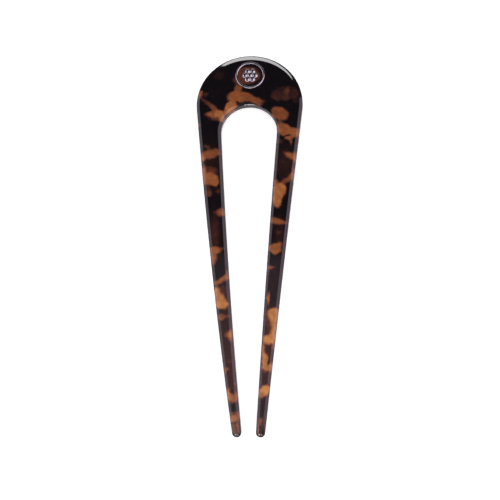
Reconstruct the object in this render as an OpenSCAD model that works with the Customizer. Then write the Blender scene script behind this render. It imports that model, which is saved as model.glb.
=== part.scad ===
// French hair pin: a flat U of acetate, bevelled, bent along its length and lying with its hollow side down.
// X runs across the pin, Y from the tips to the crown and Z up, away from the hollow side.

/* [Pin] */
// Length along the bent pin, from the tips to the top of the crown
pin_l = 136; // [110:1:170]
// Thickness of the acetate
pin_t = 3.6; // [3:0.1:5]
// Radius of the bend along the length, at mid thickness
bend_r = 230; // [150:5:900]
// Width across the crown, the widest place
crown_w = 37.3; // [32:0.1:44]
// Width of acetate between the top of the slot and the top of the crown
crown_band = 19.1; // [16:0.1:26]

/* [Legs] */
// Width of the slot at its round top
slot_w = 19.6; // [14:0.1:21]
// Width of a leg near its tip
tip_w = 3.2; // [2.8:0.1:4.6]
// Clear gap between the two tips
tip_gap = 5.1; // [3:0.1:8]
// Outward bow of each leg's outer edge, in degrees off a straight line at each end
outer_bow = 0.5; // [0:0.1:2]
// Outward bow of the slot's edge, in degrees off a straight line at each end
slot_bow = 0.3; // [0:0.1:1]

/* [Edges] */
// Width of the bevel along every edge
bevel_w = 1.05; // [0.4:0.05:1.1]
// Width of the front bevel at the top of the crown
crown_bevel_w = 1.85; // [1.1:0.05:2.5]
// Depth of the bevels
bevel_d = 0.7; // [0.3:0.05:1.2]

/* [Ornament] */
// Distance from the top of the crown to the middle of the ornament
ornament_drop = 7.9; // [7.5:0.1:10]
// Outer diameter of the silver ring
ring_d = 10.4; // [8:0.1:12]
// Width of the ring's half-round wire
ring_wire = 0.8; // [0.5:0.05:1.2]
// Diameter of one petal of the rosette
petal_d = 2; // [1.4:0.1:2.2]
// Radius of the circle that the petals' middles lie on
petal_circle = 1.75; // [1.4:0.05:1.75]
// Height of the rosette's domes
petal_h = 0.5; // [0.3:0.05:0.8]
// Thickness of the glue line between the metal and the crown
glue_t = 0.08; // [0.05:0.01:0.2]

/* [Hidden] */

// Segments of the outline: each half arc of the crown, each leg, each half of a tip, and across the acetate
arc_n = 32;
leg_n = 36;
tip_n = 6;
across_n = 4;
// Petals round the rosette
petal_n = 6;

// Edge profile, from the face down to the wall
// columns: share of the bevel's width still to go, share of the bevel's depth passed
EDGE = [
    [1.00, 0.00],
    [0.60, 0.26],
    [0.25, 0.55],
    [0.08, 0.78],
    [0.00, 1.00],
];

crown_r = crown_w / 2;
slot_r = slot_w / 2;
tip_r = tip_w / 2;
crown_c = [0, pin_l / 2 - crown_r];
slot_c = [0, pin_l / 2 - crown_band - slot_r];
tip_c = [tip_gap / 2 + tip_r, tip_r - pin_l / 2];

// Lean of the straight line that touches a circle about c and the tip's circle, in degrees off the Y axis
function lean(c, reach) =
    let (gap = c - tip_c)
    asin(reach / norm(gap)) - atan2(-gap.x, gap.y);

outer_lean = lean(crown_c, crown_r - tip_r);
slot_lean = lean(slot_c, slot_r + tip_r);
end_lean = (outer_lean + outer_bow + slot_lean + slot_bow) / 2;

// An outline point is [place, direction out of the acetate]
function arc_points(c, r, from, to, n, side) =
    [for (i = [0:n]) let (a = from + (to - from) * i / n, way = [cos(a), sin(a)]) [c + r * way, side * way]];

// Where the lines through p and q, running down the leg at leans a and b, cross
function crossing(p, a, q, b) =
    let (u = [-sin(a), -cos(a)], v = [-sin(b), -cos(b)], w = q - p)
    p + u * (w.x * v.y - w.y * v.x) / (u.x * v.y - u.y * v.x);

// A leg's edge from p to q as a curve that leaves at lean a and arrives at lean b, without its two ends
function leg_points(p, a, q, b, side) =
    let (m = abs(b - a) < 0.01 ? (p + q) / 2 : crossing(p, a, q, b))
    [for (i = [1:leg_n - 1])
        let (t = i / leg_n, along = (1 - t) * (m - p) + t * (q - m), way = along / norm(along))
        [(1 - t) * (1 - t) * p + 2 * t * (1 - t) * m + t * t * q, side * [-way.y, way.x]]];

// The right half of an edge: an arc at the top, a leg and half of the tip
function edge_points(c, r, start_lean, tip_lean, tip_from, tip_to, side) =
    let (
        top = arc_points(c, r, 90, -start_lean, arc_n, side),
        tip = arc_points(tip_c, tip_r, tip_from, tip_to, tip_n, 1)
    )
    concat(top, leg_points(top[arc_n][0], start_lean, tip[0][0], tip_lean, side), tip);

OUTER = edge_points(crown_c, crown_r, outer_lean - outer_bow, outer_lean + outer_bow,
    -outer_lean - outer_bow, -90 - end_lean, 1);
INNER = edge_points(slot_c, slot_r, slot_lean - slot_bow, slot_lean + slot_bow,
    180 - slot_lean - slot_bow, 270 - end_lean, -1);

// Rows run across the acetate, from the left tip at -row_n over the crown at 0 to the right tip at row_n
row_n = len(OUTER) - 1;
loop_n = 4 * row_n;
levels = 2 * len(EDGE);

function mirrored(p) = [[-p[0].x, p[0].y], [-p[1].x, p[1].y]];
function at_row(edge, row) = row < 0 ? mirrored(edge[-row]) : edge[row];

// The whole outline: over the crown from tip to tip, then back round the slot
OUTLINE = concat(
    [for (row = [-row_n:row_n]) at_row(OUTER, row)],
    [for (row = [row_n - 1:-1:1 - row_n]) at_row(INNER, row)]
);

// Bevel width where the edge faces the way given: the front bevel widens towards the top of the crown
function bevel_at(way, front) =
    bevel_w + (front ? (crown_bevel_w - bevel_w) * pow(max(0, way.y), 2) : 0);

// One closed loop of the outline at a level, 0 at the front face and levels - 1 at the back
function loop_at(level) =
    let (
        front = level < len(EDGE),
        step = EDGE[front ? level : levels - 1 - level],
        z = (pin_t / 2 - step[1] * bevel_d) * (front ? 1 : -1)
    )
    [for (p = OUTLINE) let (flat = p[0] - step[0] * bevel_at(p[1], front) * p[1]) [flat.x, flat.y, z]];

// Bends a point of the flat pin about an axis along X, below the pin, and sets the pin on its ends
rest_z = (bend_r - pin_t / 2) * cos((pin_l / 2 - bevel_w) / bend_r * 180 / PI);
function bent(p) =
    let (a = p.y / bend_r * 180 / PI)
    [p.x, (bend_r + p.z) * sin(a), (bend_r + p.z) * cos(a) - rest_z];

function outer_index(row) = row + row_n;
function inner_index(row) = abs(row) == row_n ? outer_index(row) : 3 * row_n - row;

// Points between the two edges of a face, row by row
function inside_points(ring) = [
    for (row = [1 - row_n:row_n - 1], s = [1:across_n - 1])
        ring[outer_index(row)] + (ring[inner_index(row)] - ring[outer_index(row)]) * s / across_n
];

LOOPS = [for (level = [0:levels - 1]) loop_at(level)];
POINTS = [for (p = concat([for (ring = LOOPS) each ring], inside_points(LOOPS[0]),
    inside_points(LOOPS[levels - 1]))) bent(p)];

// Index of the point s steps across a row, on the front face or the back
function across(row, s, front) =
    let (start = front ? 0 : (levels - 1) * loop_n)
    s == 0 || abs(row) == row_n ? start + outer_index(row)
    : s == across_n ? start + inner_index(row)
    : levels * loop_n + ((front ? 0 : 2 * row_n - 1) + row + row_n - 1) * (across_n - 1) + s - 1;

function quad(a, b, c, d) = [[a, b, c], [a, c, d]];
function flipped(face) = [face[2], face[1], face[0]];

WALLS = [
    for (level = [0:levels - 2], i = [0:loop_n - 1])
        let (j = (i + 1) % loop_n, upper = level * loop_n, lower = upper + loop_n)
        each quad(upper + i, lower + i, lower + j, upper + j)
];

// Triangles of one face, wound for the front: the two tip ends, then the rows between them
function face_triangles(front) = concat(
    [for (s = [0:across_n - 1])
        [across(row_n - 1, s, front), across(row_n, 0, front), across(row_n - 1, s + 1, front)]],
    [for (s = [0:across_n - 1])
        [across(1 - row_n, s + 1, front), across(-row_n, 0, front), across(1 - row_n, s, front)]],
    [for (row = [1 - row_n:row_n - 2], s = [0:across_n - 1])
        each quad(across(row, s, front), across(row + 1, s, front),
            across(row + 1, s + 1, front), across(row, s + 1, front))]
);

module pin_body() {
    color("#4a2a18")
        polyhedron(
            points = POINTS,
            faces = concat(WALLS, face_triangles(true), [for (f = face_triangles(false)) flipped(f)])
        );
}

// Places its children on the crown's front face, at the ornament's middle
module on_crown() {
    y = pin_l / 2 - ornament_drop;
    a = y / bend_r * 180 / PI;
    translate(bent([0, y, pin_t / 2 + glue_t]))
        rotate([-a, 0, 0])
            children();
}

module ring_trim() {
    color("#c9c9cc")
        on_crown()
            rotate_extrude($fn = 96)
                translate([(ring_d - ring_wire) / 2, 0])
                    intersection() {
                        circle(d = ring_wire, $fn = 32);
                        translate([-ring_wire / 2, 0])
                            square([ring_wire, ring_wire / 2]);
                    }
}

// A round dome with a flat base
module dome(d, h) {
    r = (d * d / 4 + h * h) / (2 * h);
    intersection() {
        translate([0, 0, h - r])
            sphere(r = r, $fn = 64);
        translate([-d, -d, 0])
            cube([2 * d, 2 * d, h * 2]);
    }
}

module rosette() {
    color("#c9c9cc")
        on_crown() {
            dome(petal_d, petal_h);
            for (i = [0:petal_n - 1])
                rotate([0, 0, i * 360 / petal_n])
                    translate([petal_circle, 0, 0])
                        dome(petal_d, petal_h);
        }
}

pin_body();
ring_trim();
rosette();
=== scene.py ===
from math import cos, radians, sin

import bmesh
import bpy
from mathutils import Matrix, Vector


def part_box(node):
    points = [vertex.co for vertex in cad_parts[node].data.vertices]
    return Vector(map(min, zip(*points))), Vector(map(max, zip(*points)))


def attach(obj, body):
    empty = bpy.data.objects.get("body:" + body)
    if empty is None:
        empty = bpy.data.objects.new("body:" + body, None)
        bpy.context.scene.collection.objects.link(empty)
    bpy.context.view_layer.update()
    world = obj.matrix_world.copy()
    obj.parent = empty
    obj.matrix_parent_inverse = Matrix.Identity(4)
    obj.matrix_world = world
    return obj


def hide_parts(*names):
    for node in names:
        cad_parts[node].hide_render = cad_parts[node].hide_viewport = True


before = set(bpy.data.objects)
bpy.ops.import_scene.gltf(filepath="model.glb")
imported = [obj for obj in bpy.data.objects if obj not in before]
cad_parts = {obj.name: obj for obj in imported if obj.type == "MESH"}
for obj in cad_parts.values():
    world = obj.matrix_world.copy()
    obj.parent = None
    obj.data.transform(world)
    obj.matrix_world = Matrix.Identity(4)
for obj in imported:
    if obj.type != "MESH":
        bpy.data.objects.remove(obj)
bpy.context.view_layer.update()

MM = 0.001

# The bent pin, in mm: radius of its middle surface, half its thickness, and the same less the bevels' depth
BEND_R = 230.0
HALF_T = 1.8
HALF_WALL = 1.1
FRONT_R = BEND_R + HALF_T
# Depth of the bend's axis below the floor, in mm
AXIS_DROP = FRONT_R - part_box("pin_body")[1][2] / MM

# Welding and softening of the solid: lengths in mm, angles in radians
WELD = 0.002
LEVEL_MARGIN = 0.02
RIDGE_ANGLE = radians(8)
FLAT_ANGLE = radians(12)
SHAPE_ANGLE = radians(60)
ARRIS = 0.22

# Emission that brings the floor up to white
FLOOR_GLOW = 0.42

# The camera, fitted to the photograph's outline
AIM = Vector((0.0, 0.0, 8.0)) * MM
DISTANCE = 0.700
TILT_RIGHT = radians(4.16)
TILT_FRONT = radians(6.39)
ROLL = radians(0.33)
SLIDE_RIGHT = 0.50 * MM
SLIDE_DOWN = 2.42 * MM
LENS = 144.75
SENSOR = 36.0

# Blotches of the tortoiseshell, painted in order over the dark ground, front seen with the crown up.
# Columns: x, distance s along the pin from its middle (mm), half sizes along and across its own axis (mm),
# turn of that axis from +x (degrees), tone from 0 (black brown) to 1 (amber).
GROUND = [
    (0.0, -46.0, 20.0, 30.0, 0, 0.31),
    (-14.0, 26.0, 5.0, 8.0, 0, 0.16),
    (13.0, 27.0, 5.0, 6.0, 0, 0.20),
    (-11.6, 2.5, 2.0, 7.0, 0, 0.30),
    (11.0, 1.5, 2.4, 6.0, 0, 0.20),
    (8.5, -13.0, 3.0, 5.0, 0, 0.17),
    (-6.0, -57.0, 4.0, 1.6, 0, 0.12),
    (5.0, -57.5, 4.0, 3.2, 0, 0.18),
]
CROWN = [
    (-0.8, 60.0, 4.6, 3.3, 0, 0.42),
    (-3.6, 58.2, 2.2, 1.7, 0, 0.45),
    (-11.0, 60.1, 1.8, 1.6, 0, 0.14),
    (-17.2, 51.8, 0.8, 1.0, 0, 0.33),
    (-16.2, 50.7, 1.3, 0.6, -35, 0.33),
    (-15.4, 52.8, 0.8, 0.6, 30, 0.36),
    (-17.8, 53.3, 1.0, 1.5, 10, 0.92),
    (-17.1, 53.6, 0.7, 0.6, 0, 0.70),
    (-13.4, 48.4, 3.0, 0.85, -42, 0.50),
    (-12.4, 47.3, 1.6, 1.0, -40, 0.60),
    (-12.0, 43.6, 1.9, 0.75, 0, 0.45),
    (-12.3, 45.3, 3.1, 1.35, 2, 0.74),
    (-10.6, 45.6, 1.8, 1.3, 20, 0.98),
    (-9.6, 43.9, 1.3, 1.0, 60, 1.00),
    (-6.4, 48.6, 2.9, 1.7, 55, 1.00),
    (-6.9, 46.9, 2.6, 1.0, 42, 1.00),
    (-4.2, 54.6, 1.3, 2.2, 0, 0.64),
    (-4.4, 51.7, 3.6, 2.3, -6, 0.78),
    (-1.6, 52.0, 2.6, 1.6, -10, 0.76),
    (1.6, 50.6, 3.2, 1.35, -16, 0.66),
    (3.2, 49.2, 1.0, 0.8, 0, 0.60),
    (-4.4, 49.6, 0.45, 0.8, 15, 0.10),
    (12.5, 53.2, 4.8, 2.6, 0, 0.18),
    (10.0, 52.3, 2.2, 1.6, 0, 0.26),
    (16.0, 52.6, 1.3, 2.0, 0, 0.24),
    (16.5, 50.2, 1.2, 0.8, 0, 0.18),
    (13.0, 53.8, 1.0, 1.5, 0, 0.42),
    (12.8, 51.3, 1.3, 1.0, 0, 0.34),
    (9.2, 51.3, 1.2, 0.7, -10, 0.32),
    (9.6, 46.9, 1.8, 1.1, 0, 0.58),
    (11.4, 43.4, 1.5, 0.8, 0, 0.60),
    (10.6, 42.4, 0.8, 0.7, 0, 0.50),
    (8.8, 45.3, 1.2, 1.2, 0, 0.68),
    (10.9, 45.4, 3.0, 2.1, -18, 0.66),
    (10.5, 35.3, 1.6, 0.8, 0, 0.35),
    (12.2, 39.6, 3.0, 2.2, -25, 0.78),
    (15.6, 38.4, 2.6, 1.7, -5, 0.82),
    (14.0, 36.6, 1.2, 0.8, 0, 0.85),
    (14.7, 35.4, 0.45, 1.3, 0, 0.60),
    (13.6, 37.5, 1.0, 0.3, 20, 0.12),
]
LEFT_LEG = [
    (-17.9, 41.3, 0.8, 0.8, 0, 0.70),
    (-14.5, 33.3, 1.5, 0.6, -28, 0.45),
    (-13.2, 30.9, 3.3, 1.7, 12, 0.66),
    (-14.6, 30.2, 2.3, 1.3, 12, 0.74),
    (-16.2, 29.2, 1.2, 1.0, 0, 1.00),
    (-15.4, 26.9, 0.8, 0.4, 20, 0.35),
    (-13.2, 25.0, 2.5, 1.2, -8, 0.42),
    (-15.6, 24.4, 0.9, 2.0, 0, 0.90),
    (-13.4, 21.8, 3.3, 2.3, -8, 0.86),
    (-11.8, 20.4, 1.4, 1.2, 0, 0.84),
    (-13.8, 18.4, 0.7, 1.2, 0, 0.36),
    (-13.5, 16.8, 1.3, 1.1, 0, 0.47),
    (-10.4, 17.6, 0.8, 0.9, 0, 0.34),
    (-10.8, 10.0, 1.1, 0.7, 0, 0.38),
    (-9.2, 10.2, 1.7, 1.5, 0, 0.60),
    (-9.2, 10.0, 1.0, 0.9, 0, 0.74),
    (-8.9, -2.3, 1.1, 0.5, 0, 0.45),
    (-11.4, -3.1, 2.3, 1.2, 2, 0.86),
    (-11.8, -4.9, 1.1, 1.8, 15, 0.84),
    (-12.0, -6.6, 0.7, 1.5, 8, 0.78),
    (-9.2, -13.6, 2.7, 0.9, 23, 0.84),
    (-7.2, -12.5, 1.1, 1.2, 0, 0.85),
    (-7.0, -10.8, 0.5, 1.0, 0, 0.66),
    (-8.3, -16.9, 1.5, 2.0, 0, 0.36),
    (-10.5, -18.0, 1.2, 2.4, 4, 0.96),
    (-9.3, -19.4, 1.3, 1.5, -45, 0.88),
    (-9.2, -21.2, 2.2, 1.8, 0, 0.98),
    (-7.9, -21.4, 1.1, 1.8, 0, 0.95),
    (-7.6, -25.9, 1.4, 0.5, 0, 0.45),
    (-9.0, -26.1, 1.3, 0.9, 0, 0.72),
    (-9.0, -25.4, 0.6, 0.7, 0, 0.66),
    (-6.6, -25.6, 0.5, 0.35, 0, 0.45),
    (-7.0, -31.6, 1.1, 1.0, 40, 0.45),
    (-6.8, -32.2, 1.1, 0.6, 0, 0.68),
    (-5.8, -32.2, 0.9, 1.8, 0, 0.90),
    (-6.6, -41.2, 0.9, 0.6, 0, 0.42),
    (-7.2, -43.9, 0.7, 0.6, 0, 0.76),
    (-7.8, -44.7, 0.35, 0.8, -10, 0.70),
    (-4.7, -49.0, 0.5, 0.4, 0, 0.58),
    (-5.6, -55.0, 1.7, 0.9, 0, 0.48),
    (-6.5, -52.5, 0.9, 1.8, 12, 0.84),
    (-5.6, -53.9, 1.6, 1.3, 0, 0.84),
    (-4.1, -53.4, 0.8, 1.5, 0, 0.78),
    (-5.3, -51.9, 0.7, 0.6, -40, 0.24),
    (-4.8, -59.5, 1.7, 1.0, 0, 0.56),
    (-3.4, -60.0, 0.4, 1.5, 0, 0.80),
    (-5.2, -61.2, 1.3, 1.2, 0, 1.00),
    (-4.6, -64.6, 1.2, 1.9, 0, 0.54),
    (-3.8, -63.6, 0.5, 1.0, 0, 0.76),
    (-3.1, -63.4, 0.4, 1.6, 0, 0.20),
]
RIGHT_LEG = [
    (14.9, 29.8, 2.4, 0.9, -30, 0.85),
    (16.2, 29.2, 0.6, 1.7, 0, 0.90),
    (12.6, 20.9, 1.4, 0.8, 20, 0.50),
    (14.8, 22.3, 2.6, 1.0, 48, 0.70),
    (15.8, 23.0, 0.6, 2.2, 0, 0.85),
    (9.6, 20.6, 1.0, 1.1, 0, 0.70),
    (10.9, 18.0, 2.4, 2.6, 0, 0.95),
    (10.2, 14.6, 1.8, 2.9, 0, 1.00),
    (9.0, 7.5, 1.2, 0.9, 0, 0.62),
    (10.9, 6.8, 2.6, 1.0, -8, 0.76),
    (11.0, 2.9, 0.6, 0.5, 0, 0.38),
    (9.6, -2.6, 1.9, 1.9, 0, 0.86),
    (8.6, -2.4, 1.1, 1.5, 0, 0.86),
    (10.8, -1.3, 1.0, 0.9, 10, 0.78),
    (7.3, -9.7, 0.5, 1.0, 0, 0.50),
    (8.1, -8.9, 1.3, 0.6, 5, 0.72),
    (7.4, -18.2, 0.35, 1.0, 0, 0.62),
    (7.25, -19.9, 0.35, 1.7, 0, 0.88),
    (7.2, -25.8, 0.9, 3.2, 0, 0.50),
    (7.4, -29.4, 1.1, 2.2, 0, 0.40),
    (8.9, -25.1, 1.7, 2.4, 0, 0.96),
    (9.5, -24.2, 1.3, 1.4, 0, 0.90),
    (9.2, -28.3, 1.1, 3.2, 0, 0.93),
    (8.7, -32.4, 1.1, 2.4, 0, 0.95),
    (7.3, -33.6, 2.1, 1.7, 8, 1.00),
    (8.9, -36.0, 0.5, 0.9, 0, 0.66),
    (5.5, -37.8, 0.6, 2.8, 0, 0.88),
    (6.1, -41.6, 1.1, 2.8, 0, 0.98),
    (5.8, -40.2, 0.8, 1.6, 0, 0.94),
    (7.9, -43.2, 0.9, 1.3, 0, 0.86),
    (6.7, -43.4, 1.5, 1.0, 0, 0.92),
    (7.3, -41.2, 0.35, 1.1, 0, 0.16),
    (4.7, -41.6, 0.35, 0.9, 0, 0.30),
    (6.3, -50.7, 1.5, 1.3, 0, 1.00),
    (5.4, -51.7, 1.6, 1.6, 30, 1.00),
    (4.7, -52.8, 1.0, 1.0, 20, 0.86),
    (4.3, -62.1, 0.6, 1.0, 0, 0.76),
    (3.4, -64.8, 0.2, 2.3, 0, 0.82),
]
# Half width of a blotch's faded edge, in mm, and the largest share of a blotch that it may take
EDGE_SOFT = 0.55
CLOUD_SOFT = 0.9
# Amber of at least this tone is brighter down the legs
# Columns: lowest and highest s (mm), gain on the tone
AMBER = 0.80
BRIGHTER = [
    (-70.0, -58.0, 1.06),
    (-58.0, -15.0, 1.22),
]
# Noise that pushes the blotches' outlines about: grain and reach, in mm
COARSE_WARP = (3.0, 0.75)
FINE_WARP = (1.0, 0.22)
# Mottling: grain in mm, swing of the tone, and the share of it that lifts the dark ground
MOTTLE_GRAIN = 1.6
MOTTLE = 0.55
MOTTLE_GROUND = 0.35

# Polishing marks: grain of the hairlines and of the waves in mm, stretch of the hairlines along the pin,
# and the hairlines' share of the bump
HAIR_GRAIN = 0.12
WAVE_GRAIN = 3.0
HAIR_STRETCH = (1.0, 0.07, 1.0)
HAIR_SHARE = 0.15

# Colours of the tortoiseshell by tone, linear light
TONE_TOP = 1.35
SHELL_RAMP = [
    (0.00, (0.0030, 0.0020, 0.0024)),
    (0.15, (0.0100, 0.0040, 0.0036)),
    (0.35, (0.0400, 0.0125, 0.0085)),
    (0.55, (0.1050, 0.0300, 0.0120)),
    (0.75, (0.1750, 0.0490, 0.0165)),
    (0.90, (0.2230, 0.0700, 0.0215)),
    (1.05, (0.2750, 0.0980, 0.0300)),
    (1.35, (0.4700, 0.1900, 0.0470)),
]


def node(tree, kind, **values):
    """A node of the tree with its properties and unlinked inputs set; input names have spaces as _."""
    made = tree.nodes.new(kind)
    for name, value in values.items():
        if hasattr(made, name):
            setattr(made, name, value)
        else:
            made.inputs[name.replace("_", " ")].default_value = value
    return made


def join(tree, *pairs):
    """Links each (output, input) pair."""
    for source, target in pairs:
        tree.links.new(source, target)


def calculate(tree, operation, first, second):
    """A Math node on two values, each a socket or a number."""
    made = tree.nodes.new("ShaderNodeMath")
    made.operation = operation
    for slot_number, value in enumerate((first, second)):
        if isinstance(value, bpy.types.NodeSocket):
            tree.links.new(value, made.inputs[slot_number])
        else:
            made.inputs[slot_number].default_value = value
    return made.outputs[0]


def new_material(name):
    """An empty node material with its shader: the material, its tree and the shader node."""
    material = bpy.data.materials.new(name)
    material.use_nodes = True
    tree = material.node_tree
    tree.nodes.clear()
    shader = tree.nodes.new("ShaderNodeBsdfPrincipled")
    output = tree.nodes.new("ShaderNodeOutputMaterial")
    join(tree, (shader.outputs["BSDF"], output.inputs["Surface"]))
    return material, tree, shader


def noise(tree, place, scale_mm, detail=2.0, roughness=0.5):
    """Noise whose grains are about scale_mm across, at the given place socket."""
    made = node(tree, "ShaderNodeTexNoise", Scale=1.0 / (scale_mm * MM), Detail=detail, Roughness=roughness)
    join(tree, (place, made.inputs["Vector"]))
    return made


def warped(tree, place, scale_mm, reach_mm):
    """The place pushed about by noise, at most reach_mm each way."""
    grain = noise(tree, place, scale_mm)
    centred = node(tree, "ShaderNodeVectorMath", operation="SUBTRACT")
    centred.inputs[1].default_value = (0.5, 0.5, 0.5)
    scaled = node(tree, "ShaderNodeVectorMath", operation="SCALE", Scale=2.0 * reach_mm * MM)
    moved = node(tree, "ShaderNodeVectorMath", operation="ADD")
    join(
        tree,
        (grain.outputs["Color"], centred.inputs[0]),
        (centred.outputs[0], scaled.inputs[0]),
        (place, moved.inputs[0]),
        (scaled.outputs[0], moved.inputs[1]),
    )
    return moved.outputs[0]


def brightened(s, tone):
    """The tone of a blotch at s, raised where the amber is brighter."""
    gains = [gain for low, high, gain in BRIGHTER if low <= s < high and tone >= AMBER]
    return tone * gains[0] if gains else tone


def blotch(tree, place, below, row, soft):
    """One soft-edged ellipse painted over the tone below."""
    x, s, along, across, turn, tone = row
    spot = node(tree, "ShaderNodeTexGradient", gradient_type="SPHERICAL")
    fit = spot.texture_mapping
    fit.vector_type = "TEXTURE"
    fit.translation = (x * MM, FRONT_R * MM * sin(s / BEND_R), 0.0)
    fit.rotation = (0.0, 0.0, radians(turn))
    fit.scale = (along * MM * (1.0 + soft), across * MM * (1.0 + soft), 1.0)
    cover = node(
        tree,
        "ShaderNodeMapRange",
        interpolation_type="SMOOTHSTEP",
        From_Max=2.0 * soft / (1.0 + soft),
    )
    mix = node(tree, "ShaderNodeMix", data_type="FLOAT")
    mix.inputs["A"].default_value = 0.0
    mix.inputs["B"].default_value = brightened(s, tone)
    join(
        tree,
        (place, spot.inputs["Vector"]),
        (spot.outputs["Fac"], cover.inputs["Value"]),
        (cover.outputs["Result"], mix.inputs["Factor"]),
    )
    if below is not None:
        join(tree, (below, mix.inputs["A"]))
    return mix.outputs["Result"]


def shell_tone(tree, place):
    """The blotched tone of the tortoiseshell with its mottling, as a share of the highest tone."""
    spread = warped(tree, warped(tree, place, *COARSE_WARP), *FINE_WARP)
    tone = None
    for row in GROUND:
        tone = blotch(tree, place, tone, row, CLOUD_SOFT)
    for row in CROWN + LEFT_LEG + RIGHT_LEG:
        tone = blotch(tree, spread, tone, row, min(CLOUD_SOFT, EDGE_SOFT / min(row[2], row[3])))
    cloud = noise(tree, place, MOTTLE_GRAIN, detail=4.0, roughness=0.6).outputs["Fac"]
    lift = calculate(tree, "MULTIPLY", calculate(tree, "SUBTRACT", cloud, 0.5), MOTTLE)
    ground = calculate(tree, "MULTIPLY", calculate(tree, "MAXIMUM", lift, 0.0), MOTTLE_GROUND)
    shaded = calculate(tree, "MULTIPLY", tone, calculate(tree, "ADD", lift, 1.0))
    return calculate(tree, "DIVIDE", calculate(tree, "ADD", shaded, ground), TONE_TOP)


def shell_colour(tree, tone):
    """The tone's colour, from black brown through red brown to amber."""
    ramp = tree.nodes.new("ShaderNodeValToRGB")
    stops = ramp.color_ramp.elements
    while len(stops) < len(SHELL_RAMP):
        stops.new(0.5)
    for stop, (level, colour) in zip(stops, SHELL_RAMP):
        stop.position = level / TONE_TOP
        stop.color = (*colour, 1.0)
    join(tree, (tone, ramp.inputs["Fac"]))
    return ramp.outputs["Color"]


def polish_marks(tree, place, shader, gloss, spread, depth_mm):
    """Roughness and bump of a hand-polished surface: faint waves and fine hairlines."""
    stretched = node(tree, "ShaderNodeMapping", vector_type="POINT", Scale=HAIR_STRETCH)
    join(tree, (place, stretched.inputs["Vector"]))
    hairs = noise(tree, stretched.outputs[0], HAIR_GRAIN, detail=3.0, roughness=0.6).outputs["Fac"]
    waves = noise(tree, place, WAVE_GRAIN, detail=1.0).outputs["Fac"]
    rough = node(tree, "ShaderNodeMapRange", To_Min=gloss, To_Max=gloss + spread)
    bump = node(tree, "ShaderNodeBump", Strength=1.0, Distance=depth_mm * MM)
    height = calculate(tree, "ADD", calculate(tree, "MULTIPLY", hairs, HAIR_SHARE), waves)
    join(
        tree,
        (hairs, rough.inputs["Value"]),
        (rough.outputs["Result"], shader.inputs["Roughness"]),
        (height, bump.inputs["Height"]),
        (bump.outputs["Normal"], shader.inputs["Normal"]),
    )


def tortoiseshell():
    """Polished tortoiseshell acetate."""
    material, tree, shader = new_material("tortoiseshell_acetate")
    place = tree.nodes.new("ShaderNodeTexCoord").outputs["Object"]
    join(tree, (shell_colour(tree, shell_tone(tree, place)), shader.inputs["Base Color"]))
    shader.inputs["IOR"].default_value = 1.49
    polish_marks(tree, place, shader, gloss=0.04, spread=0.08, depth_mm=0.004)
    return material


def silver():
    """Polished silver with fine handling marks and a little tarnish."""
    material, tree, shader = new_material("polished_silver")
    place = tree.nodes.new("ShaderNodeTexCoord").outputs["Object"]
    tarnish = noise(tree, place, 1.1, detail=4.0).outputs["Fac"]
    tint = node(tree, "ShaderNodeMix", data_type="RGBA")
    tint.inputs["A"].default_value = (0.34, 0.335, 0.34, 1.0)
    tint.inputs["B"].default_value = (0.44, 0.435, 0.44, 1.0)
    join(tree, (tarnish, tint.inputs["Factor"]), (tint.outputs["Result"], shader.inputs["Base Color"]))
    shader.inputs["Metallic"].default_value = 1.0
    polish_marks(tree, place, shader, gloss=0.12, spread=0.10, depth_mm=0.006)
    return material


def pale_floor():
    """Matte white paper."""
    material, tree, shader = new_material("white_paper")
    place = tree.nodes.new("ShaderNodeTexCoord").outputs["Object"]
    grain = noise(tree, place, 0.8, detail=3.0).outputs["Fac"]
    tint = node(tree, "ShaderNodeMix", data_type="RGBA")
    tint.inputs["A"].default_value = (0.895, 0.895, 0.895, 1.0)
    tint.inputs["B"].default_value = (0.905, 0.905, 0.905, 1.0)
    rough = node(tree, "ShaderNodeMapRange", To_Min=0.85, To_Max=0.95)
    join(
        tree,
        (grain, tint.inputs["Factor"]),
        (tint.outputs["Result"], shader.inputs["Base Color"]),
        (grain, rough.inputs["Value"]),
        (rough.outputs["Result"], shader.inputs["Roughness"]),
    )
    shader.inputs["Specular IOR Level"].default_value = 0.0
    shader.inputs["Emission Color"].default_value = (1.0, 1.0, 1.0, 1.0)
    shader.inputs["Emission Strength"].default_value = FLOOR_GLOW
    return material


def rise(place):
    """Height of a point of the frame above or below the pin's middle surface, in mm."""
    return abs(Vector((0.0, place.y / MM, place.z / MM + AXIS_DROP)).length - BEND_R)


def is_ridge(edge):
    """True where a bevel meets a face or the wall."""
    rises = [rise(corner.co) for corner in edge.verts]
    same_level = any(max(abs(r - level) for r in rises) < LEVEL_MARGIN for level in (HALF_T, HALF_WALL))
    return same_level and edge.is_manifold and edge.calc_face_angle() > RIDGE_ANGLE


def welded_body():
    """The mesh of the pin's solid, welded and smooth, with its ridges marked for the bevel."""
    work = bmesh.new()
    work.from_mesh(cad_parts["pin_body"].data)
    bmesh.ops.remove_doubles(work, verts=work.verts, dist=WELD * MM)
    bmesh.ops.join_triangles(
        work,
        faces=work.faces,
        angle_face_threshold=FLAT_ANGLE,
        angle_shape_threshold=SHAPE_ANGLE,
    )
    weight = work.edges.layers.float.new("bevel_weight_edge")
    for edge in work.edges:
        edge[weight] = 1.0 if is_ridge(edge) else 0.0
    for face in work.faces:
        face.smooth = True
    mesh = bpy.data.meshes.new("pin_polished")
    work.to_mesh(mesh)
    work.free()
    return mesh


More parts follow.
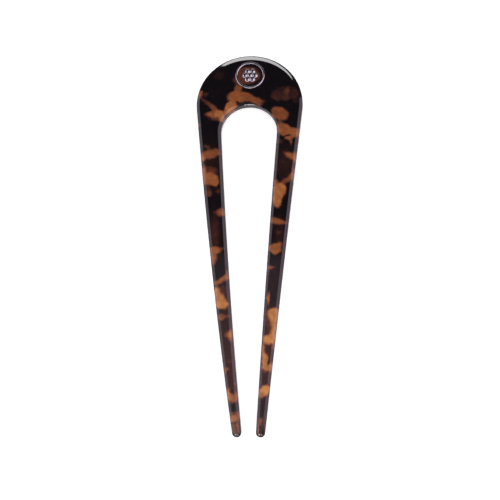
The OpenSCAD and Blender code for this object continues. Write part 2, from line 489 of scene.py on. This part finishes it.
def smooth_body():
    """The polished pin with softened arrises, in place of its node."""
    piece = bpy.data.objects.new("pin_polished", welded_body())
    bpy.context.scene.collection.objects.link(piece)
    arris = piece.modifiers.new("arris", "BEVEL")
    arris.limit_method = "WEIGHT"
    arris.width = ARRIS * MM
    arris.segments = 3
    even = piece.modifiers.new("even", "WEIGHTED_NORMAL")
    even.mode = "FACE_AREA_WITH_ANGLE"
    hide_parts("pin_body")
    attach(piece, "root")
    return piece


def finish_with(piece, material):
    """Gives every slot of the piece the material."""
    if not piece.material_slots:
        piece.data.materials.append(material)
    for slot_found in piece.material_slots:
        slot_found.material = material


def add_floor():
    """The plain pale floor."""
    reach = 3.0
    mesh = bpy.data.meshes.new("floor")
    corners = [(-reach, -reach, 0.0), (reach, -reach, 0.0), (reach, reach, 0.0), (-reach, reach, 0.0)]
    mesh.from_pydata(corners, [], [(0, 1, 2, 3)])
    floor = bpy.data.objects.new("floor", mesh)
    bpy.context.scene.collection.objects.link(floor)
    finish_with(floor, pale_floor())
    floor.visible_glossy = False


def panel(name, azimuth, elevation, distance, size, radiance, tint, shown_to, spin=0.0, shape="RECTANGLE"):
    """A soft light facing the pin, in metres and degrees. Azimuth 0 is beyond the crown, 90 on the right."""
    light = bpy.data.lights.new(name, "AREA")
    light.shape = shape
    light.size, light.size_y = size
    light.energy = radiance * 4.0 * size[0] * size[1]
    light.color = tint
    lamp = bpy.data.objects.new(name, light)
    bpy.context.scene.collection.objects.link(lamp)
    a, e = radians(azimuth), radians(elevation)
    away = Vector((sin(a) * cos(e), cos(a) * cos(e), sin(e)))
    lamp.location = away * distance
    turn = away.to_track_quat("Z", "Y").to_matrix() @ Matrix.Rotation(radians(spin), 3, "Z")
    lamp.rotation_euler = turn.to_euler()
    lamp.visible_camera = False
    lamp.visible_diffuse = shown_to == "diffuse"
    lamp.visible_glossy = shown_to == "glossy"
    return lamp


def add_lights():
    """A big overhead key for the body colour and reflectors for the polished edges. Returns the strips."""
    white = (1.0, 0.97, 0.985)
    mauve = (1.0, 0.86, 0.98)
    panel("key", 135, 84, 1.5, (2.4, 2.4), 2.15, (1, 1, 1), "diffuse")
    strip = panel("back_strip", 2, 15.0, 0.6, (0.50, 0.23), 6.4, white, "glossy", spin=-24, shape="ELLIPSE")
    panel("left_box", -87, 21, 0.53, (0.80, 0.36), 1.4, mauve, "glossy")
    panel("right_box", 87, 38, 0.53, (0.80, 0.72), 1.4, mauve, "glossy")
    panel("front_low", 186, 24, 0.6, (0.90, 0.46), 1.6, mauve, "glossy")
    panel("front_high", 188, 72, 0.7, (0.60, 0.54), 0.24, (0.90, 0.84, 1.0), "glossy")
    core = panel("front_core", 188, 46, 0.6, (0.36, 0.09), 36.0, white, "glossy", shape="ELLIPSE")
    return strip, core


def keep_to(lamps, piece):
    """Lets the lamps light only the piece."""
    receivers = bpy.data.collections.new("lit_by_strips")
    receivers.objects.link(piece)
    for lamp in lamps:
        lamp.light_linking.receiver_collection = receivers


def add_world():
    """A dim studio: nearly dark above, and below the horizon as bright as the reflected floor."""
    world = bpy.data.worlds.new("studio")
    world.use_nodes = True
    tree = world.node_tree
    ground = tree.nodes["Background"]
    way = node(tree, "ShaderNodeSeparateXYZ")
    fade = node(tree, "ShaderNodeMapRange", interpolation_type="SMOOTHSTEP", From_Min=-0.10, From_Max=0.0)
    tint = node(tree, "ShaderNodeMix", data_type="RGBA")
    tint.inputs["A"].default_value = (0.70, 0.63, 0.68, 1.0)
    tint.inputs["B"].default_value = (0.05, 0.05, 0.075, 1.0)
    join(
        tree,
        (tree.nodes.new("ShaderNodeTexCoord").outputs["Generated"], way.inputs[0]),
        (way.outputs["Z"], fade.inputs["Value"]),
        (fade.outputs["Result"], tint.inputs["Factor"]),
        (tint.outputs["Result"], ground.inputs["Color"]),
    )
    bpy.context.scene.world = world


def add_camera():
    """The camera at the photograph's angle, a long lens nearly straight above the pin."""
    back = Vector((sin(TILT_RIGHT), -sin(TILT_FRONT), 1.0)).normalized()
    up = (Vector((0, 1, 0)) - back * back.y).normalized()
    right = up.cross(back)
    roll = Matrix.Rotation(ROLL, 3, back)
    up = roll @ up
    right = roll @ right
    place = AIM + back * DISTANCE + right * SLIDE_RIGHT - up * SLIDE_DOWN
    lens = bpy.data.cameras.new("camera")
    lens.lens = LENS
    lens.sensor_width = SENSOR
    lens.clip_start = 0.01
    camera = bpy.data.objects.new("camera", lens)
    bpy.context.scene.collection.objects.link(camera)
    turn = Matrix((right, up, back)).transposed()
    camera.matrix_world = Matrix.Translation(place) @ turn.to_4x4()
    bpy.context.scene.camera = camera


add_camera()
add_world()
strips = add_lights()
add_floor()
body = smooth_body()
finish_with(body, tortoiseshell())
keep_to(strips, body)
bright = silver()
for trim in ("ring_trim", "rosette"):
    finish_with(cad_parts[trim], bright)
bpy.context.scene.view_settings.view_transform = "Standard"
